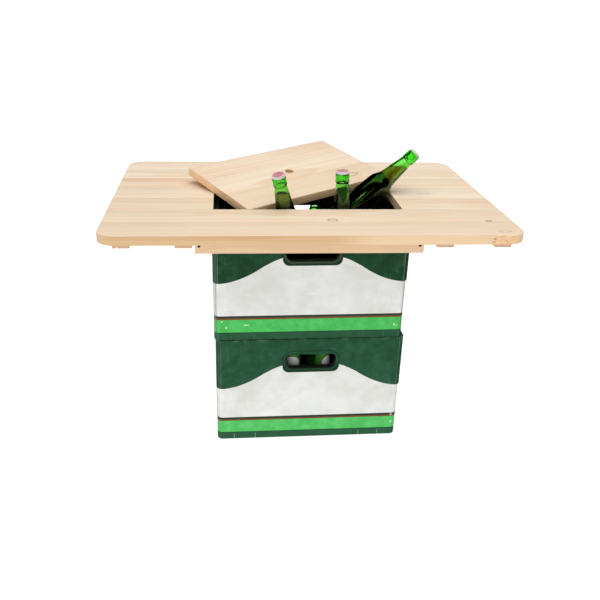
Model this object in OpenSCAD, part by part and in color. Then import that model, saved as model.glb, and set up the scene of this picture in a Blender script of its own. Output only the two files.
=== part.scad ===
// Outdoor side table: a pine board top with a cut-out and a loose lid, standing
// on two stacked bottle crates. Origin on the ground under the middle of the top,
// X along the boards, Y away from the front edge, Z up. Millimetres.

/* [Table top] */
// Length of the top along the boards
top_l = 786; // [760:2:820]
// Width of one board on the face
board_w = 80; // [79:0.5:81]
// Thickness of the boards
board_t = 18; // [18:0.5:20]
// Plan radius of the four corners of the top
corner_r = 34; // [20:1:60]
// Left end of the cut-out, from the middle of the top
cut_x0 = -185; // [-188:1:-184]
// Right end of the cut-out, from the middle of the top
cut_x1 = 195; // [194:1:198]

/* [Battens] */
// Width of a batten
batten_w = 32; // [28:1:34]
// Height of a batten
batten_h = 18; // [16:1:22]
// Length of a batten
batten_l = 490; // [480:1:500]

/* [Locating frame] */
// Height of the frame that drops over the crate rim
frame_h = 54; // [48:1:60]
// Thickness of the frame's front and back boards
frame_t = 18; // [16:0.5:18]
// Thickness of the frame's side rails
rail_t = 16; // [14:0.5:16]

/* [Lid] */
// Length of the lid along its boards
lid_l = 378; // [374:1:378]
// Width of the lid across its boards
lid_w = 238; // [236:1:238]
// Radius of the finger hole
hole_r = 10; // [8:0.5:14]

/* [Crates] */
// Height from one crate's foot to the next crate's foot
crate_h = 245; // [245:1:250]
// Length of a crate
crate_l = 400; // [398:1:400]
// Depth of a crate
crate_d = 300; // [298:1:300]
// Corner radius of a crate
crate_r = 13; // [12:1:16]
// Wall thickness of a crate
wall = 6; // [5:0.5:6]
// Height of the bottle divider strips
strip_h = 105; // [80:1:105]

/* [Bottles] */
// Radius of a bottle's body
bottle_r = 30; // [29:0.5:30]

/* [Hidden] */

// stacking lip on a crate's top rim
lip_h = 11;
lip_in = 10.5;
lip_t = 5;
lip_r = 9.5;
// what rests on a crate's shoulder or lip clears it by this much
rest_gap = 0.04;
// underside of the boards rests on the upper crate's lip
under_z = 2 * crate_h + lip_h;
top_d = 7 * board_w;
face_z = under_z + board_t;
// tongue and groove
tongue = 5;
groove = 5.5;
vee = 3;
// battens: middle of each one
batten_x = [-352, -238, 251, 361];
screw_y = [-225, -160, -80, 0, 80, 160, 225];
// locating frame, outside faces
frame_x0 = -220;
frame_x1 = 230;
frame_y0 = -178;
frame_y1 = 172;
frame_screw_z = under_z - 38.2;
// crates: places and turn
upper_at = [9.4, -3.3, crate_h];
lower_at = [14.4, -3.1, 0];
crate_turn = 1.3;
floor_z0 = 12;
floor_z1 = 15;
rim_h = 13;
recess = 1.8;
band_z = 129.5;
frame_half = 61;
// middle of the long sides' panels and slots
panel_x = 1.4;
slot_z = 193.75;
slot_l = 109;
slot_h = 35.5;
slot_r = 16;
cell_x = 64;
cell_y = 71;
strip_t = 2;
// bottles
bottle_h = 220;
pose_a = [[-9.94, -67.66, 378.9], 17.34, 224.2];
pose_b = [[84.3, -80, 368.4], 2.3, 180];
pose_c = [[84.5, -5.5, 459], 49.6, 9.8];
pose_d = [[41.38, 35.44, 261.3], 1.656, 237.3];
level_a = 548.5;
level_b = 550;
level_c = 572;
// lid: middle of its upper face and its lie
lid_at = [-17.5, 82, 545.5];
lid_turn = [8.6, -3.1, 31.9];
seam_1 = 47;
seam_2 = -36;

pine = [0.93, 0.84, 0.70];
pine_pink = [0.91, 0.80, 0.68];
green = [0.12, 0.30, 0.20];
glass_green = [0.25, 0.60, 0.12, 0.7];
drink = [0.15, 0.16, 0.05];
steel = [0.75, 0.76, 0.78];
cap_red = [0.85, 0.62, 0.62];

// ---------- general shapes ----------

// rounded rectangle about the origin
module rounded(l, d, r) {
  square([l - 2 * r, d], center = true);
  square([l, d - 2 * r], center = true);
  for (x = [-1, 1], y = [-1, 1])
    translate([x * (l / 2 - r), y * (d / 2 - r)]) circle(r, $fn = 48);
}

// prism with a rounded rectangle as its plan
module slab(l, d, r, h) {
  linear_extrude(h) rounded(l, d, r);
}

// countersunk wood screw: head up at z = 0, point down; rs shank, rh head
module screw(len, rs, rh) {
  difference() {
    union() {
      translate([0, 0, -2.6]) cylinder(h = 2.6, r1 = rs, r2 = rh, $fn = 40);
      translate([0, 0, -len]) cylinder(h = len - 2.5, r = rs, $fn = 24);
    }
    // cross recess
    translate([-0.6 * rh, -0.5, -1.4]) cube([1.2 * rh, 1, 2]);
    translate([-0.5, -0.6 * rh, -1.4]) cube([1, 1.2 * rh, 2]);
  }
}

// hole for that screw: countersink, then a plain bore
module screw_hole(len, rs, rh) {
  translate([0, 0, -2.7]) cylinder(h = 2.7, r1 = rs, r2 = rh, $fn = 40);
  translate([0, 0, -len]) cylinder(h = len - 2.65, r = rs, $fn = 24);
  cylinder(h = 1, r = rh, $fn = 40);
}

// ---------- boards ----------

// section of a board: width along x, thickness along y, underside at y = 0
module board_section(w, g, t) {
  polygon(concat(
    g ? [[vee, 0], [0, vee], [0, 6], [groove, 6], [groove, 12], [0, 12]] : [[0, 0]],
    [[0, board_t], [w, board_t]],
    t ? [[w, 11.8], [w + tongue, 11.8], [w + tongue, 6.2], [w, 6.2], [w, vee], [w - vee, 0]] : [[w, 0]]
  ));
}

// board lying along X from x0 to x1, its near edge at y0
module board(x0, x1, y0, w, z0, g, t) {
  translate([x0, y0, z0]) rotate([90, 0, 90]) linear_extrude(x1 - x0) board_section(w, g, t);
}

// near edge of a board row, 0 to 6 from the front
function row_y(i) = -top_d / 2 + i * board_w;

// pilot holes under a board for the batten screws
module pilots(y, xs) {
  for (x = xs)
    translate([x, y, under_z - 1]) cylinder(h = 13.5, r = 2.05, $fn = 24);
}

module outer_board(i, y) {
  difference() {
    intersection() {
      board(-top_l / 2, top_l / 2, row_y(i), board_w, under_z, i > 0, i < 6);
      translate([0, 0, under_z - 1]) slab(top_l, top_d, corner_r, board_t + 2);
    }
    pilots(y, batten_x);
  }
}

module front_outer_board() {
  color(pine) outer_board(0, screw_y[0]);
}

module front_inner_board() {
  color(pine) difference() {
    board(-top_l / 2, top_l / 2, row_y(1), board_w, under_z, true, true);
    // no tongue along the cut-out
    translate([cut_x0, row_y(2), under_z - 1]) cube([cut_x1 - cut_x0, tongue + 1, board_t + 2]);
    pilots(screw_y[1], batten_x);
  }
}

module stub(i, x0, x1, xs) {
  difference() {
    board(x0, x1, row_y(i), board_w, under_z, true, true);
    pilots(screw_y[i], xs);
  }
}

module left_board_front() { color(pine_pink) stub(2, -top_l / 2, cut_x0, [batten_x[0], batten_x[1]]); }
module left_board_middle() { color(pine) stub(3, -top_l / 2, cut_x0, [batten_x[0], batten_x[1]]); }
module left_board_back() { color(pine_pink) stub(4, -top_l / 2, cut_x0, [batten_x[0], batten_x[1]]); }
module right_board_front() { color(pine_pink) stub(2, cut_x1, top_l / 2, [batten_x[2], batten_x[3]]); }
module right_board_middle() { color(pine) stub(3, cut_x1, top_l / 2, [batten_x[2], batten_x[3]]); }
module right_board_back() { color(pine_pink) stub(4, cut_x1, top_l / 2, [batten_x[2], batten_x[3]]); }

module back_inner_board() {
  color(pine) difference() {
    union() {
      board(-top_l / 2, top_l / 2, row_y(5), board_w, under_z, true, true);
      // solid edge along the cut-out
      translate([cut_x0, row_y(5), under_z + 5]) cube([cut_x1 - cut_x0, groove + 1, 8]);
    }
    pilots(screw_y[5], batten_x);
  }
}

module back_outer_board() {
  color(pine) outer_board(6, screw_y[6]);
}

// ---------- battens ----------

module batten(x, vgroove) {
  difference() {
    translate([x - batten_w / 2, -batten_l / 2, under_z - batten_h]) cube([batten_w, batten_l, batten_h]);
    for (y = screw_y)
      translate([x, y, under_z - batten_h]) rotate([180, 0, 0]) screw_hole(batten_h + 1, 2.25, 4.15);
    if (vgroove)
      translate([x - 7, batten_l / 2 + 1, under_z - batten_h - 1]) rotate([90, 0, 0])
        linear_extrude(batten_l + 2) polygon([[-2.8, 0], [2.8, 0], [0, 4]]);
  }
}

module batten_left_outer() { color(pine) batten(batten_x[0], true); }
module batten_left_inner() { color(pine) batten(batten_x[1], false); }
module batten_right_inner() { color(pine) batten(batten_x[2], false); }
module batten_right_outer() { color(pine) batten(batten_x[3], false); }

module batten_screws() {
  color(steel)
    for (x = batten_x, y = screw_y)
      translate([x, y, under_z - batten_h]) rotate([180, 0, 0]) screw(30, 2, 4);
}

// ---------- locating frame ----------

function frame_screw_x() = [frame_x0 + rail_t / 2, frame_x1 - rail_t / 2];

module apron_front() {
  color(pine) difference() {
    translate([frame_x0, frame_y0, under_z - frame_h]) cube([frame_x1 - frame_x0, frame_t, frame_h]);
    for (x = frame_screw_x())
      translate([x, frame_y0, frame_screw_z]) rotate([90, 0, 0]) screw_hole(frame_t + 1, 1.95, 3.0);
  }
}

module apron_back() {
  color(pine) difference() {
    translate([frame_x0, frame_y1 - frame_t, under_z - frame_h]) cube([frame_x1 - frame_x0, frame_t, frame_h]);
    for (x = frame_screw_x())
      translate([x, frame_y1, frame_screw_z]) rotate([-90, 0, 0]) screw_hole(frame_t + 1, 1.95, 3.0);
  }
}

module rail(x0) {
  difference() {
    translate([x0, frame_y0 + frame_t, under_z - frame_h])
      cube([rail_t, frame_y1 - frame_y0 - 2 * frame_t, frame_h]);
    // pilot holes in both ends
    for (y = [frame_y0 + frame_t + 23, frame_y1 - frame_t + 1])
      translate([x0 + rail_t / 2, y, frame_screw_z]) rotate([90, 0, 0]) cylinder(h = 24, r = 1.75, $fn = 24);
  }
}

module rail_left() { color(pine) rail(frame_x0); }
module rail_right() { color(pine) rail(frame_x1 - rail_t); }

module apron_screws() {
  color(steel) for (x = frame_screw_x()) {
    translate([x, frame_y0, frame_screw_z]) rotate([90, 0, 0]) screw(40, 1.7, 2.85);
    translate([x, frame_y1, frame_screw_z]) rotate([-90, 0, 0]) screw(40, 1.7, 2.85);
  }
}

// ---------- lid ----------

// the lid is modelled flat, its upper face at z = 0, then laid askew
module lid_place() {
  translate(lid_at) rotate(lid_turn) children();
}

module lid_board(y0, w, g, t) {
  board(-lid_l / 2, lid_l / 2, y0, w, -board_t, g, t);
}

module lid_board_back() {
  color(pine) lid_place() lid_board(seam_1, lid_w / 2 - seam_1, true, false);
}

module lid_board_middle() {
  color(pine_pink) lid_place() difference() {
    lid_board(seam_2, seam_1 - seam_2, true, true);
    translate([0, 0, -board_t - 1]) cylinder(h = board_t + 2, r = hole_r, $fn = 64);
  }
}

module lid_board_front() {
  color(pine) lid_place() lid_board(-lid_w / 2, seam_2 + lid_w / 2, false, true);
}

// ---------- crates ----------

// lower edge of the green zone on a long side, height over the crate's foot
// (a power curve far out, a straight rise, and a gentler last stretch to the handle)
function wave(x) = band_z + 0.01077 * pow(190 - max(abs(x), 100), 1.8) + 0.56 * max(100 - abs(x), 0)
  - 0.0055 * pow(max(86 - abs(x), 0), 2);

// outline of the pale panel on a long side above the level band
function panel_points() = concat(
  [[185, band_z - 1], [-185, band_z - 1]],
  [for (x = [-185 : 5 : -65]) [x, wave(x)]],
  [[-frame_half, wave(frame_half)]],
  [for (a = [0 : 15 : 90]) [-frame_half + 14 - 14 * cos(a), 180 - 14 * sin(a)]],
  [for (a = [90 : -15 : 0]) [frame_half - 14 + 14 * cos(a), 180 - 14 * sin(a)]],
  [[frame_half, wave(frame_half)]],
  [for (x = [65 : 5 : 185]) [x, wave(x)]]
);

// the same on a short side: one low arch
function end_points() = concat(
  [[130, band_z - 1], [-130, band_z - 1]],
  [for (y = [-130 : 10 : 130]) [y, band_z + 24 * (1 + cos(180 * y / 130))]]
);

module crate_shell() {
  difference() {
    union() {
      difference() {
        union() {
          slab(crate_l, crate_d, crate_r, crate_h - rest_gap);
          translate([0, 0, crate_h - 1])
            slab(crate_l - 2 * lip_in, crate_d - 2 * lip_in, lip_r, lip_h + 1 - rest_gap);
        }
        // room for the bottles
        translate([0, 0, floor_z1])
          slab(crate_l - 2 * wall, crate_d - 2 * wall, crate_r - wall, crate_h - rim_h - floor_z1);
        // mouth inside the lip
        translate([0, 0, crate_h - rim_h - 1])
          slab(crate_l - 2 * lip_in - 2 * lip_t, crate_d - 2 * lip_in - 2 * lip_t, lip_r - lip_t, rim_h + lip_h + 3);
        // hollow foot that nests over the lip below
        translate([0, 0, -1])
          slab(crate_l - 9, crate_d - 9, crate_r - 4.5, floor_z0 + 1);
      }
      // grip collars behind the handle slots
      for (s = [-1, 1])
        translate([panel_x, s * (crate_d / 2 - wall - 4), slot_z]) rotate([90, 0, 0])
          translate([0, 0, -5]) linear_extrude(10) rounded(slot_l + 6, slot_h + 6, slot_r + 3);
    }
    // handle slots
    for (s = [-1, 1])
      translate([panel_x, s * (crate_d / 2 - 9), slot_z]) rotate([90, 0, 0])
        translate([0, 0, -15]) linear_extrude(30) rounded(slot_l, slot_h, slot_r);
    // level part of the recessed zone, down to the ground
    difference() {
      translate([0, 0, -1]) slab(crate_l + 4, crate_d + 4, crate_r + 2, band_z + 1);
      translate([0, 0, -2]) slab(crate_l - 2 * recess, crate_d - 2 * recess, crate_r - recess, band_z + 3);
    }
    // arched part on the long sides
    for (s = [-1, 1])
      translate([panel_x, s * crate_d / 2, 0]) rotate([90, 0, 0])
        translate([0, 0, -recess]) linear_extrude(2 * recess) polygon(panel_points());
    // arched part on the short sides
    for (s = [-1, 1])
      translate([s * crate_l / 2, 0, 0]) rotate([90, 0, 90])
        translate([0, 0, -recess]) linear_extrude(2 * recess) polygon(end_points());
  }
}

// with a bar for the fingers inside the top of each handle slot
module crate_body() {
  union() {
    crate_shell();
    for (s = [-1, 1])
      translate([panel_x - slot_l / 2 - 3, s * (crate_d / 2 - 10.5) - 5.5, slot_z + slot_h / 2 - 5]) cube([slot_l + 6, 11, 8]);
  }
}

// strips along the crate, slotted from above
module long_strips() {
  for (y = [-cell_y, 0, cell_y])
    difference() {
      translate([-193.5, y - strip_t / 2, floor_z1]) cube([387, strip_t, strip_h]);
      for (i = [-2 : 2])
        translate([i * cell_x - 1.2, y - 2, floor_z1 + strip_h / 2]) cube([2.4, 4, strip_h]);
    }
}

// strips across the crate, slotted from below
module cross_strips() {
  for (i = [-2 : 2])
    difference() {
      translate([i * cell_x - strip_t / 2, -143.5, floor_z1]) cube([strip_t, 287, strip_h]);
      for (y = [-cell_y, 0, cell_y])
        translate([i * cell_x - 2, y - 1.2, floor_z1 - 1]) cube([4, 2.4, strip_h / 2 + 1.2]);
    }
}

module upper_place() { translate(upper_at) rotate([0, 0, crate_turn]) children(); }
module lower_place() { translate(lower_at) rotate([0, 0, crate_turn]) children(); }

module upper_crate_body() { color(green) upper_place() crate_body(); }
module upper_long_dividers() { color(green) upper_place() long_strips(); }
module upper_cross_dividers() { color(green) upper_place() cross_strips(); }
module lower_crate_body() { color(green) lower_place() crate_body(); }
module lower_long_dividers() { color(green) lower_place() long_strips(); }
module lower_cross_dividers() { color(green) lower_place() cross_strips(); }

// ---------- bottles ----------

// half sections: radius, height over the foot
module glass_section() {
  br = bottle_r;
  polygon([
    [0, 3.5], [12, 3], [20, 1], [23.5, 0], [27, 1.5], [br - 1, 4], [br, 8],
    [br, 70], [br - 0.2, 75], [br - 0.5, 85], [28.9, 98], [28.2, 110], [27.2, 119], [25.6, 124.5],
    [23.1, 129], [20.5, 134.5], [19.3, 138.5], [12.85, 194.5], [14.2, 196],
    [13.9, 205], [14.2, 212], [13.4, 213.7], [12.4, 213.9], [12.4, 218.4], [11.8, 219],
    [9.4, 219], [8.8, 218.4], [8.8, 200], [9.9, 193], [16.4, 138], [17.8, 133], [20.2, 127.5],
    [22.8, 122.5], [24.6, 116.5], [25.6, 108], [26.3, 96], [27, 75], [27, 12], [25, 7], [20, 5.5], [0, 6.5]
  ]);
}

// liquid inside, cut off by each bottle's own level
module drink_section() {
  polygon([
    [0, 6.8], [19.8, 5.8], [24.7, 7.2], [26.7, 12.1], [26.7, 75], [26, 95.9], [25.3, 107.9],
    [24.3, 116.3], [22.5, 122.2], [19.9, 127.2], [17.5, 132.8], [16.1, 137.9], [9.6, 192.9],
    [8.5, 200], [8.5, 212], [0, 212]
  ]);
}

module cap_section() {
  polygon([
    [0, 220], [11.6, 220], [12.8, 219.4], [13.2, 217.4], [14.3, 214.8], [14.3, 214.2],
    [13.75, 214.2], [12.75, 217], [12.75, 219.3], [0, 219.3]
  ]);
}

module bottle_place(p) { translate(p[0]) rotate([0, p[1], p[2]]) children(); }

module bottle_glass() { rotate_extrude($fn = 72) glass_section(); }
module bottle_cap() { rotate_extrude($fn = 72) cap_section(); }

// drink in a leaning bottle, with a level surface
module drink(p, level) {
  intersection() {
    bottle_place(p) rotate_extrude($fn = 72) drink_section();
    translate([-300, -300, 300]) cube([700, 600, level - 300]);
  }
}

module bottle_a_glass() { color(glass_green) bottle_place(pose_a) bottle_glass(); }
module bottle_a_beer() { color(drink) drink(pose_a, level_a); }
module bottle_a_cap() { color(cap_red) bottle_place(pose_a) bottle_cap(); }
module bottle_b_glass() { color(glass_green) bottle_place(pose_b) bottle_glass(); }
module bottle_b_beer() { color(drink) drink(pose_b, level_b); }
module bottle_b_cap() { color(cap_red) bottle_place(pose_b) bottle_cap(); }
module bottle_c_glass() { color(glass_green) bottle_place(pose_c) bottle_glass(); }
module bottle_c_beer() { color(drink) drink(pose_c, level_c); }
module bottle_c_cap() { color(cap_red) bottle_place(pose_c) bottle_cap(); }
module bottle_d_glass() { color(glass_green) bottle_place(pose_d) bottle_glass(); }

// one bottle in the middle of every cell of the lower crate
module in_cells() {
  lower_place()
    for (i = [-2.5 : 1 : 2.5], j = [-1.5 : 1 : 1.5])
      translate([i * cell_x, j * cell_y, floor_z1]) children();
}

module lower_bottles_glass() {
  color(glass_green) in_cells() rotate_extrude($fn = 48) polygon([
    [0, 3], [20, 1], [23.5, 0], [29, 4], [bottle_r, 8], [bottle_r, 75], [28.6, 104], [27.2, 119], [23.1, 129],
    [19.3, 138.5], [12.85, 194.5], [14.2, 196], [14.2, 212], [13.4, 213.7], [12.4, 213.9],
    [12.4, 219], [8.8, 219], [8.8, 200], [16.4, 138], [20.2, 127.5], [24.6, 116.5], [26.2, 98], [27, 75],
    [27, 10], [22, 6], [0, 6]
  ]);
}

module lower_bottles_beer() {
  color(drink) in_cells() rotate_extrude($fn = 48) polygon([
    [0, 6.3], [21.8, 6.3], [26.7, 10.2], [26.7, 75], [25.9, 97.8], [24.3, 116.2], [19.9, 127.2],
    [16.1, 137.7], [10.7, 182], [0, 182]
  ]);
}

module lower_bottle_caps() {
  color(cap_red) in_cells() rotate_extrude($fn = 48) cap_section();
}

front_outer_board();
front_inner_board();
left_board_front();
left_board_middle();
left_board_back();
right_board_front();
right_board_middle();
right_board_back();
back_inner_board();
back_outer_board();
batten_left_outer();
batten_left_inner();
batten_right_inner();
batten_right_outer();
batten_screws();
apron_front();
apron_back();
rail_left();
rail_right();
apron_screws();
lid_board_back();
lid_board_middle();
lid_board_front();
upper_crate_body();
upper_long_dividers();
upper_cross_dividers();
lower_crate_body();
lower_long_dividers();
lower_cross_dividers();
bottle_a_glass();
bottle_a_beer();
bottle_a_cap();
bottle_b_glass();
bottle_b_beer();
bottle_b_cap();
bottle_c_glass();
bottle_c_beer();
bottle_c_cap();
bottle_d_glass();
lower_bottles_glass();
lower_bottles_beer();
lower_bottle_caps();
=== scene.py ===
import math
import bpy
import bmesh
from mathutils import Matrix, Vector, Euler, noise


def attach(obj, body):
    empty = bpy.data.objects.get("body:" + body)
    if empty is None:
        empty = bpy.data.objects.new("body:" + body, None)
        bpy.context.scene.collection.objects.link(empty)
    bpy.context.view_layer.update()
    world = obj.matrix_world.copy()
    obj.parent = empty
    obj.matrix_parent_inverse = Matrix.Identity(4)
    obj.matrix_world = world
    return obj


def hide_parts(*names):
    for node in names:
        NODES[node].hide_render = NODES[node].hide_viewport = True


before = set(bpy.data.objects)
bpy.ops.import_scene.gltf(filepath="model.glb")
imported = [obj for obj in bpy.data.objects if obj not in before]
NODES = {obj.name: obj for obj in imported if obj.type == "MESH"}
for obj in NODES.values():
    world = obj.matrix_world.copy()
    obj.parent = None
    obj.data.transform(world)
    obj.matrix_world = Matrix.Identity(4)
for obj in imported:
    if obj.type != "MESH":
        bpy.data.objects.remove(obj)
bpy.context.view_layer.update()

MM = 0.001
scene = bpy.context.scene


def lin(r, g, b):
    """sRGB 0..255 to linear"""
    out = []
    for v in (r, g, b):
        v = v / 255.0
        out.append(v / 12.92 if v <= 0.04045 else ((v + 0.055) / 1.055) ** 2.4)
    return (out[0], out[1], out[2], 1.0)


# ------------------------------------------------------------------ camera
cam_data = bpy.data.cameras.new("photo_camera")
cam = bpy.data.objects.new("photo_camera", cam_data)
scene.collection.objects.link(cam)
scene.camera = cam
right = Vector((0.99816891, -0.05789019, 0.01753723))
up = Vector((0.00663587, 0.39297869, 0.91952363))
fwd = Vector((0.06012315, 0.91772353, -0.39264326))
cam.matrix_world = Matrix((
    (right.x, up.x, -fwd.x, -0.159561),
    (right.y, up.y, -fwd.y, -1.500041),
    (right.z, up.z, -fwd.z, 0.945954),
    (0, 0, 0, 1)))
cam_data.sensor_width = 36.0
cam_data.lens = 36.0 * 724.275 / 600.0
cam_data.shift_x = 0.05
cam_data.shift_y = -0.025
cam_data.clip_start = 0.05
cam_data.clip_end = 200.0

# ------------------------------------------------------------------ places
LID = Matrix.Translation(Vector((-17.5, 82.0, 545.5)) * MM) @ Euler(
    (math.radians(8.6), math.radians(-3.1), math.radians(31.9)), "XYZ").to_matrix().to_4x4()
UPPER = Matrix.Translation(Vector((9.4, -3.3, 245.0)) * MM) @ Matrix.Rotation(math.radians(1.3), 4, "Z")
LOWER = Matrix.Translation(Vector((14.4, -3.1, 0.0)) * MM) @ Matrix.Rotation(math.radians(1.3), 4, "Z")


def bottle_matrix(base, tilt, az):
    return (Matrix.Translation(Vector(base) * MM) @ Matrix.Rotation(math.radians(az), 4, "Z")
            @ Matrix.Rotation(math.radians(tilt), 4, "Y"))


POSE = {
    "a": bottle_matrix((-9.94, -67.66, 378.9), 17.34, 224.2),
    "b": bottle_matrix((84.3, -80, 368.4), 2.3, 180),
    "c": bottle_matrix((84.5, -5.5, 459), 49.6, 9.8),
    "d": bottle_matrix((41.38, 35.44, 261.3), 1.656, 237.3),
}
LEVEL = {"a": 548.5, "b": 550.0, "c": 572.0}


# ------------------------------------------------------------------ node helpers
class Tree:
    """small helper that builds shader nodes"""

    def __init__(self, tree):
        self.t = tree
        self.x = 0

    def new(self, kind, **props):
        n = self.t.nodes.new(kind)
        n.location = (self.x, 0)
        self.x += 40
        for k, v in props.items():
            setattr(n, k, v)
        return n

    def put(self, socket, value):
        if isinstance(value, bpy.types.NodeSocket):
            self.t.links.new(value, socket)
        elif value is not None:
            if hasattr(socket, "default_value"):
                try:
                    n = len(socket.default_value)
                except TypeError:
                    n = 0
                if n and not hasattr(value, "__len__"):
                    value = (value,) * n
                if n == 4 and len(value) == 3:
                    value = (*value, 1.0)
                socket.default_value = value

    def m(self, op, a, b=None, c=None, clamp=False):
        n = self.new("ShaderNodeMath", operation=op, use_clamp=clamp)
        self.put(n.inputs[0], a)
        if b is not None:
            self.put(n.inputs[1], b)
        if c is not None:
            self.put(n.inputs[2], c)
        return n.outputs[0]

    def v(self, op, a, b=None):
        n = self.new("ShaderNodeVectorMath", operation=op)
        self.put(n.inputs[0], a)
        if b is not None:
            if op == "SCALE":
                self.put(n.inputs["Scale"], b)
            else:
                self.put(n.inputs[1], b)
        return n.outputs["Value"] if op in ("LENGTH", "DOT_PRODUCT", "DISTANCE") else n.outputs[0]

    def sep(self, vec):
        n = self.new("ShaderNodeSeparateXYZ")
        self.put(n.inputs[0], vec)
        return n.outputs[0], n.outputs[1], n.outputs[2]

    def comb(self, x, y, z):
        n = self.new("ShaderNodeCombineXYZ")
        self.put(n.inputs[0], x)
        self.put(n.inputs[1], y)
        self.put(n.inputs[2], z)
        return n.outputs[0]

    def noise(self, vec, scale=1.0, detail=2.0, rough=0.5, dist=0.0):
        n = self.new("ShaderNodeTexNoise")
        self.put(n.inputs["Vector"], vec)
        n.inputs["Scale"].default_value = scale
        n.inputs["Detail"].default_value = detail
        n.inputs["Roughness"].default_value = rough
        n.inputs["Distortion"].default_value = dist
        return n.outputs["Fac"]

    def voronoi(self, vec, scale=1.0, feature="F1"):
        n = self.new("ShaderNodeTexVoronoi", feature=feature)
        self.put(n.inputs["Vector"], vec)
        n.inputs["Scale"].default_value = scale
        return n.outputs["Distance"]

    def step(self, val, lo, hi, a=0.0, b=1.0):
        """smooth change from a to b as val goes from lo to hi"""
        n = self.new("ShaderNodeMapRange", interpolation_type="SMOOTHSTEP")
        self.put(n.inputs["Value"], val)
        n.inputs["From Min"].default_value = lo
        n.inputs["From Max"].default_value = hi
        n.inputs["To Min"].default_value = a
        n.inputs["To Max"].default_value = b
        return n.outputs[0]

    def mixc(self, fac, a, b, mode="MIX"):
        n = self.new("ShaderNodeMix", data_type="RGBA", blend_type=mode)
        self.put(n.inputs[0], fac)
        self.put(n.inputs[6], a)
        self.put(n.inputs[7], b)
        return n.outputs[2]

    def bump(self, height, strength=0.3, distance=0.001, normal=None):
        n = self.new("ShaderNodeBump")
        n.inputs["Strength"].default_value = strength
        n.inputs["Distance"].default_value = distance
        self.put(n.inputs["Height"], height)
        if normal is not None:
            self.put(n.inputs["Normal"], normal)
        return n.outputs[0]

    def coords(self):
        return self.new("ShaderNodeTexCoord").outputs["Object"]

    def normal(self):
        """normal in the object's own axes"""
        return self.new("ShaderNodeTexCoord").outputs["Normal"]


def material(name):
    mat = bpy.data.materials.new(name)
    mat.use_nodes = True
    mat.node_tree.nodes.clear()
    t = Tree(mat.node_tree)
    out = t.new("ShaderNodeOutputMaterial")
    bsdf = t.new("ShaderNodeBsdfPrincipled")
    t.t.links.new(bsdf.outputs[0], out.inputs["Surface"])
    return mat, t, bsdf, out


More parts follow.
